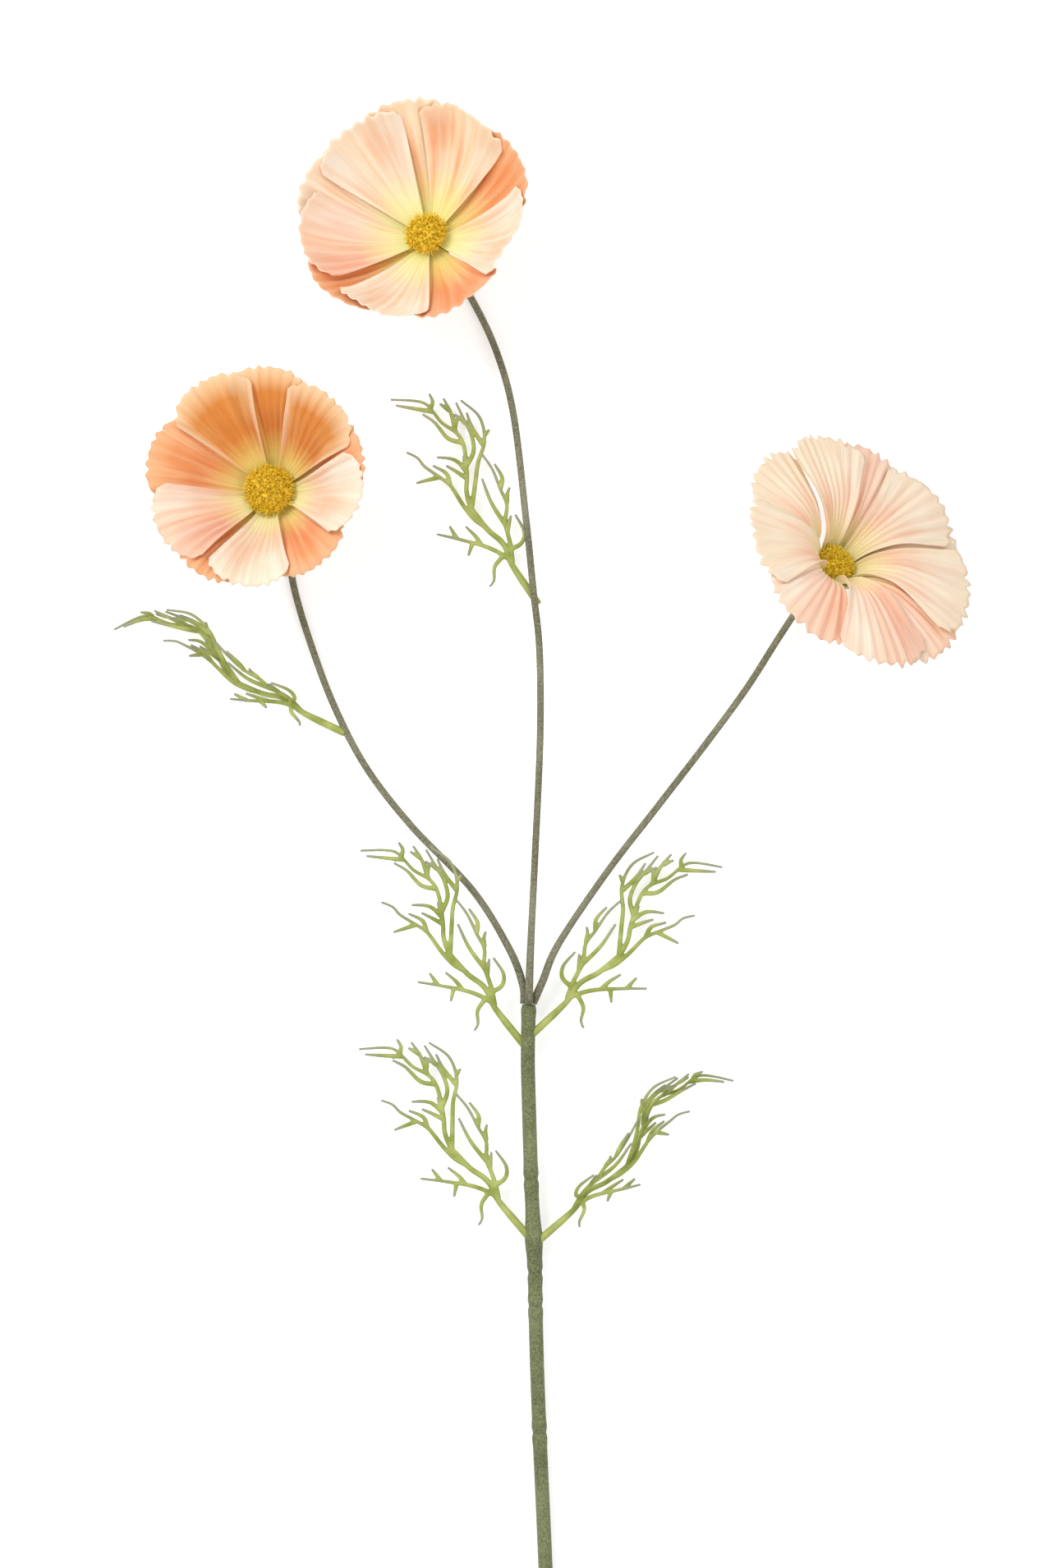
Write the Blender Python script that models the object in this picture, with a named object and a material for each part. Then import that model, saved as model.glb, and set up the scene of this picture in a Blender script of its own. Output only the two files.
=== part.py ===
"""Cut spray of three cosmos flowers, lying on a surface.

The spray lies in the XY plane with its flowers towards +Y and its cut end towards -Y.
The flowers face up, +Z. The origin is the middle of the base of its bounding box.
Lengths below are in millimetres and turned to metres by mm() and point().
"""

import math

import bpy
import bmesh
from mathutils import Matrix, Vector

CLEARANCE = 0.3              # gap between pieces that touch
ORIGIN_SHIFT = (-1.43, 1.21, 0.0)   # puts the origin under the middle of the spray

# ---- main stem: (x, y, z of the axis), radius at each seam and between them
STEM_SIDES = 12
STEM_RADIUS = 2.45
STEM_STEP = 12.0             # distance between the rings of the stem
STEM_LENGTHS = {
    "stem_lower": [(7.0, -300.0, 2.37), (4.4, -240.0, 3.6), (3.0, -201.0, 4.4), (1.0, -156.6, 5.3)],
    "stem_middle": [(1.0, -156.0, 5.3), (0.2, -135.0, 5.7), (-0.4, -113.0, 6.1)],
    "stem_collar": [(-0.4, -112.4, 6.1), (-0.5, -101.6, 6.4)],
    "stem_leaf_joint": [(-0.5, -101.0, 6.4), (-1.0, -89.0, 6.7), (-1.9, -69.4, 7.0)],
    "stem_upper": [(-1.9, -68.8, 7.0), (-2.6, -45.0, 7.5), (-3.0, -28.0, 7.9), (-2.7, -9.6, 8.2)],
}
SHOULDER_Y = -90.0           # where the leaf joint length is widest
SHOULDER_RADIUS = 3.1
SHOULDER_REACH = 6.0

# ---- branches: route of the axis, from the fork to the back of the flower
BRANCH_SIDES_RESOLUTION = 1
BRANCH_RADIUS = 1.2
BRANCH_FOOT_RADIUS = 1.4
BRANCH_FOOT_RINGS = 4        # the foot tapers over this many rings
BRANCH_STEP = 9.0            # distance between the rings of a branch
BRANCH_STRAIGHT_END = 4.0    # the branch runs straight this far into the calyx
BRANCH_ROUTES = {
    "left_branch": [
        (-4.3, -9.0, 7.4), (-4.7, -2.5, 7.6), (-9.5, 10.0, 8.2), (-22.0, 30.0, 9.0), (-43.0, 52.0, 8.4),
        (-58.5, 72.0, 6.8), (-69.5, 93.0, 4.6), (-77.5, 114.0, 2.4), (-83.0, 132.0, 1.07),
        (-85.6, 146.0, 2.4), (-87.6, 157.0, 5.6),
    ],
    "top_branch": [
        (-2.7, -9.0, 10.4), (-2.0, 11.5, 10.6), (-0.5, 42.5, 10.4), (1.2, 82.0, 9.8), (1.0, 112.0, 9.4),
        (-1.0, 131.5, 9.2), (-3.6, 157.0, 8.8), (-8.0, 193.5, 6.4), (-14.0, 215.5, 3.4),
        (-22.5, 233.5, 1.06), (-28.4, 241.6, 3.4),
    ],
    "right_branch": [
        (-1.2, -8.8, 7.4), (2.2, -1.0, 8.3), (7.5, 11.5, 9.6), (24.0, 36.0, 10.6), (41.0, 58.0, 9.8),
        (58.0, 80.0, 8.0), (72.0, 99.0, 5.8), (83.5, 117.0, 4.6),
    ],
}

# ---- flowers: base point, lean of the axis from upright, cup of the petals
PETAL_START = 2.6            # radius where a petal leaves the axis
PETAL_THICKNESS = 0.5
PETAL_ROWS = 6
PETAL_COLUMNS = 4
CUP_STEPS = 16               # steps that add up the cup from the axis outwards
CLAW_WIDTH = 0.85            # width of a petal's claw against its rim, as an angle
TIP_ROUNDING = 0.1           # how much shorter a petal is at its sides than at its middle
LAYER_LIFT = 1.5             # front petals lie this far above the back ones
FLOWERS = {
    "left": {
        "base": (-90.0, 165.5, 21.0), "lean": 10.0, "towards": 144.0,
        "cup": (10, 36, 52, 55, 42, 12), "swing": 0.0, "swing_towards": 0.0,
        "length": 49.0, "stretch": 0.02, "stretch_towards": 120.0,
        "front": (120, 45, -10, -95, -152), "back": (166, 84, 16, -52, -122),
        "front_half_width": 26.5, "back_half_width": 26.0, "disc_radius": 8.4,
    },
    "top": {
        "base": (-36.4, 251.4, 20.4), "lean": 22.0, "towards": 127.0,
        "cup": (10, 18, 30, 42, 52, 60), "swing": 0.0, "swing_towards": 0.0,
        "length": 50.0, "stretch": 0.02, "stretch_towards": 80.0,
        "front": (126, 62, -15, -107, -170), "back": (160, 97, 25, -62, -138),
        "front_half_width": 27.5, "back_half_width": 26.0, "disc_radius": 7.0,
    },
    "right": {
        "base": (99.0, 138.5, 15.15), "lean": 42.0, "towards": 48.0,
        "cup": (15, 68, 35, 8, 2, -4), "swing": 7.0, "swing_towards": 140.0,
        "length": 52.0, "stretch": 0.05, "stretch_towards": -60.0,
        "front": (100, 34, -20, -82, -170), "back": (67, 8, -50, -128, 145),
        "front_half_width": 25.5, "back_half_width": 25.0, "disc_radius": 7.0,
    },
}

# ---- calyx and disc of a flower: (radius, height) outlines from the axis outwards
CALYX_OUTLINE = [(0.0, -7.0), (1.5, -7.0), (2.1, -5.6), (3.4, -4.0), (4.4, -2.0), (4.6, -0.6), (0.0, -0.6)]
DISC_NECK_RADIUS = 2.1
DISC_BOTTOM = -0.3
DISC_NECK_TOP = 2.6
DISC_RIM_HEIGHT = 5.4
DISC_DOME_HEIGHT = 3.8
DISC_DOME_RINGS = 3
TURNED_SIDES = 14

# ---- leaf mould, lying flat: strands as points from the leaf's foot, y towards the tip
LEAF_CHORD_TURN = 42.4       # the mould's foot-to-tip line leans this far left of +Y
RIB = [
    (0, 0), (-8, 9.5), (-10.5, 14.5), (-13, 17.5), (-17.5, 20.5), (-21.5, 24.5), (-24.5, 28), (-26.5, 33),
    (-27, 38.5), (-29, 48), (-32, 52.5), (-37.5, 55.5), (-41, 59), (-44, 61.5), (-48.5, 62), (-56, 61.5),
]
STRANDS = [
    [(-42, 60), (-41.5, 62.5), (-43, 65)],
    [(-41, 59), (-47.5, 59.3), (-54, 59.7)],
    [(-30, 49.5), (-35, 50.5), (-40, 55.3), (-44.5, 57.7)],
    [(-32.5, 53), (-35, 59.5), (-38, 64)],
    [(-35.5, 60), (-39, 62)],
    [(-33, 53.5), (-32.5, 58), (-33.5, 59)],
    [(-27.5, 41.5), (-25.6, 47), (-27, 52.5), (-29.5, 56.5), (-33.5, 63)],
    [(-29.5, 56.3), (-32.5, 58.5)],
    [(-27, 39.5), (-30.5, 42.7), (-33.5, 43.6), (-38, 43.5)],
    [(-27, 37.5), (-31, 39.5), (-34.5, 41)],
    [(-27.5, 40.5), (-29, 45)],
    [(-24, 28), (-23.8, 37), (-23.6, 43.5), (-22.3, 51.3), (-25, 59), (-32, 64)],
    [(-22.8, 49.7), (-27, 55), (-29.5, 60)],
    [(-22.5, 52.8), (-21, 55)],
    [(-19.5, 22), (-23, 24), (-27, 28), (-31, 33), (-33, 35), (-37.5, 37.5), (-42, 40), (-44.5, 42.5),
     (-48.5, 44)],
    [(-36.5, 36.7), (-41, 35), (-44, 33.8)],
    [(-32.5, 34.7), (-34, 38.3), (-39, 40.5)],
    [(-8, 10.5), (-9.3, 16), (-11, 20.7), (-12.2, 24), (-12.2, 30), (-15, 35), (-18.5, 41.5), (-22.3, 46)],
    [(-12.2, 23.3), (-17.5, 30), (-21.7, 38)],
    [(-15, 35.2), (-14.8, 39), (-18, 43.5)],
    [(-12.2, 30.6), (-12.4, 34), (-11.8, 36)],
    [(-11, 20.7), (-10.4, 26.5)],
    [(-9, 15), (-5.7, 17.5), (-5.4, 21.7), (-9, 27)],
    [(-9.5, 11.5), (-13.5, 13.5), (-18.5, 15), (-27, 16.3), (-35, 17.2)],
    [(-28, 16.5), (-31, 20.5)],
    [(-19.4, 15.2), (-21.7, 18), (-25.5, 21)],
    [(-22.5, 15.5), (-23.4, 11)],
    [(-11.5, 12.3), (-14, 8.3), (-13.7, 3.6), (-15, 1.3)],
]
RIB_SIDES = 6
STRAND_SIDES = 3
LEAF_FOOT_RADIUS = 1.35
LEAF_RIB_RADIUS = 1.05
STRAND_RADIUS = 0.95
STRAND_TIP_RADIUS = 0.6
LEAVES = {
    "lower_left_leaf": {"foot": (-5.0, -86.3, 7.0), "turn": 42.4, "mirror": False, "fold": 8, "rise": -2},
    "lower_right_leaf": {"foot": (3.2, -88.2, 7.0), "turn": -51.0, "mirror": True, "fold": 62, "rise": -3},
    "upper_left_leaf": {"foot": (-6.7, -20.2, 8.0), "turn": 40.0, "mirror": False, "fold": 14, "rise": 8},
    "upper_right_leaf": {"foot": (1.2, -17.0, 8.0), "turn": -49.0, "mirror": True, "fold": 6, "rise": -3},
    "left_branch_leaf": {"foot": (-69.2, 85.4, 5.2), "turn": 66.0, "mirror": False, "fold": 66, "rise": -1},
    "top_branch_leaf": {"foot": (-1.4, 131.0, 6.2), "turn": 36.0, "mirror": False, "fold": 4, "rise": -2},
}

COLOURS = {
    "stem": (0.147, 0.178, 0.080), "branch": (0.165, 0.162, 0.107), "leaf": (0.380, 0.440, 0.120),
    "calyx": (0.270, 0.330, 0.110), "disc": (0.745, 0.434, 0.010), "front petal": (0.956, 0.680, 0.440),
    "back petal": (0.870, 0.430, 0.190),
}
ROUGHNESS = {
    "stem": 0.9, "branch": 0.9, "leaf": 0.5, "calyx": 0.5, "disc": 0.8, "front petal": 0.7, "back petal": 0.7,
}


def mm(length):
    return length / 1000.0


def point(x, y, z):
    return Vector((mm(x), mm(y), mm(z)))


def clear_scene():
    for obj in list(bpy.data.objects):
        bpy.data.objects.remove(obj, do_unlink=True)


def finish(obj, kind):
    """Give the piece a material of its own, in the colour of its kind."""
    material = bpy.data.materials.new(obj.name + "_material")
    material.use_nodes = True
    shader = material.node_tree.nodes["Principled BSDF"]
    shader.inputs["Base Color"].default_value = (*COLOURS[kind], 1.0)
    shader.inputs["Roughness"].default_value = ROUGHNESS[kind]
    shader.inputs["Metallic"].default_value = 0.0
    obj.data.materials.clear()
    obj.data.materials.append(material)


def empty(name, parent=None):
    obj = bpy.data.objects.new(name, None)
    bpy.context.scene.collection.objects.link(obj)
    obj.parent = parent
    return obj


def mesh_object(name, bm, kind, parent):
    bmesh.ops.recalc_face_normals(bm, faces=bm.faces)
    mesh = bpy.data.meshes.new(name)
    bm.to_mesh(mesh)
    bm.free()
    mesh.shade_smooth()
    obj = bpy.data.objects.new(name, mesh)
    bpy.context.scene.collection.objects.link(obj)
    obj.parent = parent
    finish(obj, kind)
    return obj


def smooth_route(corners, step):
    """Points about one step apart on a Catmull-Rom curve through the corners, ends kept."""
    corners = [Vector(corner) for corner in corners]
    padded = [2 * corners[0] - corners[1]] + corners + [2 * corners[-1] - corners[-2]]
    route = [corners[0]]
    for before, start, end, after in zip(padded, padded[1:], padded[2:], padded[3:]):
        count = max(1, round((end - start).length / step))
        for index in range(1, count + 1):
            t = index / count
            route.append(0.5 * (2 * start + (end - before) * t
                                + (2 * before - 5 * start + 4 * end - after) * t ** 2
                                + (3 * start - before - 3 * end + after) * t ** 3))
    return route


def ring(bm, centre, along, radius, sides):
    """A ring of vertices round a point of a route, square to the route."""
    side = along.cross(Vector((0, 0, 1)))
    if side.length < 1e-6:
        side = Vector((1, 0, 0))
    side.normalize()
    up = side.cross(along).normalized()
    loop = []
    for index in range(sides):
        turn = 2 * math.pi * (index + 0.5) / sides
        offset = side * math.cos(turn) * radius + up * math.sin(turn) * radius
        loop.append(bm.verts.new((centre + offset) / 1000.0))
    return loop


def add_tube(bm, route, radii, sides):
    """A closed tube along a route, with its own radius at each point and flat caps."""
    rings = []
    for index, centre in enumerate(route):
        before = route[max(index - 1, 0)]
        after = route[min(index + 1, len(route) - 1)]
        rings.append(ring(bm, centre, (after - before).normalized(), radii[index], sides))
    for low, high in zip(rings, rings[1:]):
        for index in range(sides):
            following = (index + 1) % sides
            bm.faces.new((low[index], low[following], high[following], high[index]))
    bm.faces.new(list(reversed(rings[0])))
    bm.faces.new(rings[-1])


def turned(name, outline, kind, parent):
    """A solid of revolution about Z from an outline that starts and ends on the axis."""
    bm = bmesh.new()
    verts = [bm.verts.new((mm(radius), 0, mm(height))) for radius, height in outline]
    edges = [bm.edges.new(pair) for pair in zip(verts, verts[1:])]
    bmesh.ops.spin(bm, geom=verts + edges, cent=(0, 0, 0), axis=(0, 0, 1),
                   angle=2 * math.pi, steps=TURNED_SIDES, use_duplicate=False)
    bmesh.ops.remove_doubles(bm, verts=bm.verts, dist=1e-6)
    return mesh_object(name, bm, kind, parent)


def stem_radius(y):
    """Radius of the main stem, with a shoulder under the lower pair of leaves."""
    shoulder = math.exp(-((y - SHOULDER_Y) / SHOULDER_REACH) ** 2)
    return STEM_RADIUS + (SHOULDER_RADIUS - STEM_RADIUS) * shoulder


def build_stem(parent):
    for name, corners in STEM_LENGTHS.items():
        route = smooth_route(corners, STEM_STEP)
        bm = bmesh.new()
        add_tube(bm, route, [stem_radius(spot.y) for spot in route], STEM_SIDES)
        mesh_object(name, bm, "stem", parent)


def flower_axis(flower):
    lean = math.radians(flower["lean"])
    towards = math.radians(flower["towards"])
    return Vector((math.sin(lean) * math.cos(towards), math.sin(lean) * math.sin(towards), math.cos(lean)))


def build_branch(name, flower, parent):
    """A bevelled curve from the fork to the calyx, which it meets along the flower's axis."""
    corners = [Vector(corner) for corner in BRANCH_ROUTES[name]]
    for depth in (BRANCH_STRAIGHT_END, 0.0):
        below = depth + CLEARANCE - CALYX_OUTLINE[0][1]
        corners.append(Vector(flower["base"]) - flower_axis(flower) * below)
    route = smooth_route(corners, BRANCH_STEP)
    curve = bpy.data.curves.new(name, "CURVE")
    curve.dimensions = "3D"
    curve.bevel_depth = mm(BRANCH_RADIUS)
    curve.bevel_resolution = BRANCH_SIDES_RESOLUTION
    curve.use_fill_caps = True
    spline = curve.splines.new("POLY")
    spline.points.add(len(route) - 1)
    for index, (spot, place) in enumerate(zip(spline.points, route)):
        thick = max(0.0, 1.0 - index / BRANCH_FOOT_RINGS)
        spot.co = (*(place / 1000.0), 1.0)
        spot.radius = 1.0 + thick * (BRANCH_FOOT_RADIUS / BRANCH_RADIUS - 1.0)
    obj = bpy.data.objects.new(name, curve)
    bpy.context.scene.collection.objects.link(obj)
    obj.parent = parent
    finish(obj, "branch")


def cup_angle(flower, share, azimuth):
    """Angle of the cup above the flower's plane, at a share of the petal's length."""
    cup = flower["cup"]
    place = min(max(share, 0.0), 1.0) * (len(cup) - 1)
    index = min(int(place), len(cup) - 2)
    blend = place - index
    blend = blend * blend * (3 - 2 * blend)
    swing = flower["swing"] * math.cos(math.radians(azimuth - flower["swing_towards"])) * share
    return math.radians(cup[index] * (1 - blend) + cup[index + 1] * blend + swing)


def cup_point(flower, arc, azimuth, lift):
    """Point of the cup at an arc length from the axis, lifted square to its surface."""
    radius = PETAL_START
    height = 0.0
    length = arc - PETAL_START
    for index in range(CUP_STEPS):
        share = length * (index + 0.5) / CUP_STEPS / (flower["length"] - PETAL_START)
        angle = cup_angle(flower, share, azimuth)
        radius += math.cos(angle) * length / CUP_STEPS
        height += math.sin(angle) * length / CUP_STEPS
    angle = cup_angle(flower, length / (flower["length"] - PETAL_START), azimuth)
    radius -= math.sin(angle) * lift
    height += math.cos(angle) * lift
    turn = math.radians(azimuth)
    return point(radius * math.cos(turn), radius * math.sin(turn), height)


def build_petal(name, flower, centre, half_width, lift, kind, parent):
    """A thin blade that follows the flower's cup, from its claw to its rounded tip."""
    bm = bmesh.new()
    grid = []
    stretch = math.cos(math.radians(centre - flower["stretch_towards"]))
    length = flower["length"] * (1 + flower["stretch"] * stretch)
    for row in range(PETAL_ROWS + 1):
        along = row / PETAL_ROWS
        line = []
        for column in range(PETAL_COLUMNS + 1):
            across = 2 * column / PETAL_COLUMNS - 1
            tip = length * (1 - TIP_ROUNDING * abs(across) ** 3)
            arc = PETAL_START + (tip - PETAL_START) * along
            azimuth = centre + across * half_width * (CLAW_WIDTH + (1 - CLAW_WIDTH) * along)
            line.append(bm.verts.new(cup_point(flower, arc, azimuth, lift)))
        grid.append(line)
    for low, high in zip(grid, grid[1:]):
        for column in range(PETAL_COLUMNS):
            bm.faces.new((low[column], low[column + 1], high[column + 1], high[column]))
    obj = mesh_object(name, bm, kind, parent)
    solid = obj.modifiers.new("thickness", "SOLIDIFY")
    solid.thickness = mm(PETAL_THICKNESS)
    solid.offset = 0.0
    solid.use_even_offset = True


def disc_outline(radius):
    """Neck, sloping underside and dome of the yellow middle of a flower."""
    outline = [(0.0, DISC_BOTTOM), (DISC_NECK_RADIUS, DISC_BOTTOM), (DISC_NECK_RADIUS, DISC_NECK_TOP),
               (radius, DISC_RIM_HEIGHT)]
    for index in range(1, DISC_DOME_RINGS + 1):
        turn = math.pi / 2 * index / DISC_DOME_RINGS
        outline.append((radius * math.cos(turn), DISC_RIM_HEIGHT + DISC_DOME_HEIGHT * math.sin(turn)))
    outline[-1] = (0.0, DISC_RIM_HEIGHT + DISC_DOME_HEIGHT)
    return outline


def build_flower(name, parent):
    flower = FLOWERS[name]
    axis = flower_axis(flower)
    frame = empty(name + "_flower", parent)
    frame.location = point(*flower["base"])
    frame.rotation_mode = "QUATERNION"
    frame.rotation_quaternion = Vector((0, 0, 1)).rotation_difference(axis)
    turned(name + "_calyx", CALYX_OUTLINE, "calyx", frame)
    turned(name + "_disc", disc_outline(flower["disc_radius"]), "disc", frame)
    for index, centre in enumerate(flower["back"], 1):
        build_petal(f"{name}_back_petal_{index}", flower, centre, flower["back_half_width"], 0.0,
                    "back petal", frame)
    for index, centre in enumerate(flower["front"], 1):
        build_petal(f"{name}_front_petal_{index}", flower, centre, flower["front_half_width"], LAYER_LIFT,
                    "front petal", frame)


def rib_offset(height):
    """Sideways place of the rib at a height along the upright mould."""
    upright = [turn_flat(spot, -LEAF_CHORD_TURN) for spot in RIB]
    for low, high in zip(upright, upright[1:]):
        if low.y <= height <= high.y:
            return low.x + (high.x - low.x) * (height - low.y) / (high.y - low.y)
    return upright[-1].x if height > upright[-1].y else 0.0


def turn_flat(spot, degrees):
    return Matrix.Rotation(math.radians(degrees), 2) @ Vector(spot)


def leaf_point(leaf, spot):
    """Place of a mould point on a leaf: folded along the rib, mirrored, turned and raised."""
    upright = turn_flat(spot, -LEAF_CHORD_TURN)
    rib = rib_offset(upright.y)
    aside = upright.x - rib
    fold = math.radians(leaf["fold"])
    across = rib + aside * math.cos(fold)
    height = abs(aside) * math.sin(fold) + upright.y * math.tan(math.radians(leaf["rise"]))
    if leaf["mirror"]:
        across = -across
    flat = turn_flat((across, upright.y), leaf["turn"])
    return Vector((flat.x, flat.y, height))


def build_leaf(name, parent):
    """One feathery leaf: a tapered rib with its strands joined on."""
    leaf = LEAVES[name]
    bm = bmesh.new()
    rib = [leaf_point(leaf, spot) for spot in RIB]
    last = len(rib) - 1
    radii = [LEAF_FOOT_RADIUS if index < 2 else
             LEAF_RIB_RADIUS + (STRAND_TIP_RADIUS - LEAF_RIB_RADIUS) * index / last
             for index in range(last + 1)]
    add_tube(bm, rib, radii, RIB_SIDES)
    obj = mesh_object(name, bm, "leaf", parent)
    obj.location = point(*leaf["foot"])
    guide_bm = bmesh.new()
    for strand in STRANDS:
        route = [leaf_point(leaf, spot) for spot in strand]
        ends = len(route) - 1
        radii = [STRAND_RADIUS + (STRAND_TIP_RADIUS - STRAND_RADIUS) * index / ends
                 for index in range(ends + 1)]
        add_tube(guide_bm, route, radii, STRAND_SIDES)
    strands = mesh_object(name + "_strands", guide_bm, "leaf", parent)
    strands.location = obj.location
    strands.hide_render = True
    strands.display_type = "WIRE"
    join = obj.modifiers.new("strands", "BOOLEAN")
    join.operation = "UNION"
    join.solver = "EXACT"
    join.use_self = True
    join.object = strands


def build_spray():
    clear_scene()
    root = empty("spray")
    root.location = point(*ORIGIN_SHIFT)
    build_stem(root)
    for name, flower in FLOWERS.items():
        build_branch(name + "_branch", flower, root)
        build_flower(name, root)
    for name in LEAVES:
        build_leaf(name, root)


build_spray()
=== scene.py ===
import math
import random

import bpy
import bmesh
from mathutils import Matrix, Vector
from mathutils.kdtree import KDTree


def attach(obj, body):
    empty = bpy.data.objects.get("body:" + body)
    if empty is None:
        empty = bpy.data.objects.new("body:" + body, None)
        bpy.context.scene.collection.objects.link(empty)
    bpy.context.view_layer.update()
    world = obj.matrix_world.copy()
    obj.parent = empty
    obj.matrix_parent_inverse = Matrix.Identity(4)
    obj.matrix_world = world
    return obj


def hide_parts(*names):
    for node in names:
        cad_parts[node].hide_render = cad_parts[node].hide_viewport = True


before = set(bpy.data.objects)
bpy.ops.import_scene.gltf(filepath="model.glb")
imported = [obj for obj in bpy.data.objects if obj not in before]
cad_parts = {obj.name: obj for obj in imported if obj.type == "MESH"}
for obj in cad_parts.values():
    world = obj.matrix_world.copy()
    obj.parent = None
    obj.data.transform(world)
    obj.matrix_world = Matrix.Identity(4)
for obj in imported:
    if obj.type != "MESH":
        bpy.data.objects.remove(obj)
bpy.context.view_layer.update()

layoutShift = Vector((-1.43, 1.21, 0.0))     # mm, from the drawing's origin to the frame's


def say(text):
    print("spray:", text)


def linear(hexColour):                        # sRGB hex to linear RGBA
    parts = [int(hexColour[i:i + 2], 16) / 255 for i in (1, 3, 5)]
    return [p / 12.92 if p <= 0.04045 else ((p + 0.055) / 1.055) ** 2.4 for p in parts] + [1.0]


def place(spot):                              # drawing millimetres to frame metres
    return (Vector(spot) + layoutShift) / 1000.0


def addNode(tree, kind, settings=None, links=None):
    node = tree.nodes.new(kind)
    for name, value in (settings or {}).items():
        if name.startswith("in_"):
            key = name[3:]
            node.inputs[int(key) if key.isdigit() else key].default_value = value
        else:
            setattr(node, name, value)
    for name, source in (links or {}).items():
        tree.links.new(source, node.inputs[int(name) if name.isdigit() else name])
    return node


def newMaterial(name, roughness, specular):
    material = bpy.data.materials.new(name)
    material.use_nodes = True
    tree = material.node_tree
    shader = tree.nodes["Principled BSDF"]
    shader.inputs["Roughness"].default_value = roughness
    shader.inputs["IOR"].default_value = 1.46
    shader.inputs["Specular IOR Level"].default_value = specular
    return material, tree, shader


def ramp(tree, source, stops):                # stops: (position, hex colour)
    node = addNode(tree, "ShaderNodeValToRGB", None, {"Fac": source})
    elements = node.color_ramp.elements
    while len(elements) < len(stops):
        elements.new(0.5)
    for element, (position, colour) in zip(elements, stops):
        element.position = position
        element.color = linear(colour)
    return node.outputs["Color"]


def maths(tree, operation, first, second, clamp=False):
    node = addNode(tree, "ShaderNodeMath", {"operation": operation, "use_clamp": clamp})
    for index, value in enumerate((first, second)):
        if isinstance(value, (int, float)):
            node.inputs[index].default_value = value
        else:
            tree.links.new(value, node.inputs[index])
    return node.outputs[0]


def mixColour(tree, share, source, hexColour):    # a share of one plain colour over a varied one
    node = addNode(tree, "ShaderNodeMix", {"data_type": "RGBA", "in_7": linear(hexColour)},
                   {"0": share, "6": source})
    return node.outputs[2]


def grainBump(tree, shader, height, strength, depth):    # depth in metres
    bump = addNode(tree, "ShaderNodeBump", {"in_Strength": strength, "in_Distance": depth},
                   {"Height": height})
    tree.links.new(bump.outputs["Normal"], shader.inputs["Normal"])


clothLook = {
    "streakScale": (7.0, 0.7, 1.0), "streakShare": 0.55,       # narrow across the petal, long down it
    "patchScale": (1.6, 1.1, 1.0), "patchShare": 0.6, "patchDepth": 3.0,
    "heartWobble": 0.25, "heartEnds": (0.12, 0.5), "rimStarts": 0.82,
    "stripEnds": (0.4, 0.47), "stripStarts": (0.15, 0.5),      # the pale strips down both sides
    "weaveScale": 2200.0, "weaveShare": 0.3,                   # about 0.45 mm grain, coarser than real thread
    "veinScale": 9.0, "bumpStrength": 0.25, "bumpDepth": 0.0003,
}


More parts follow.
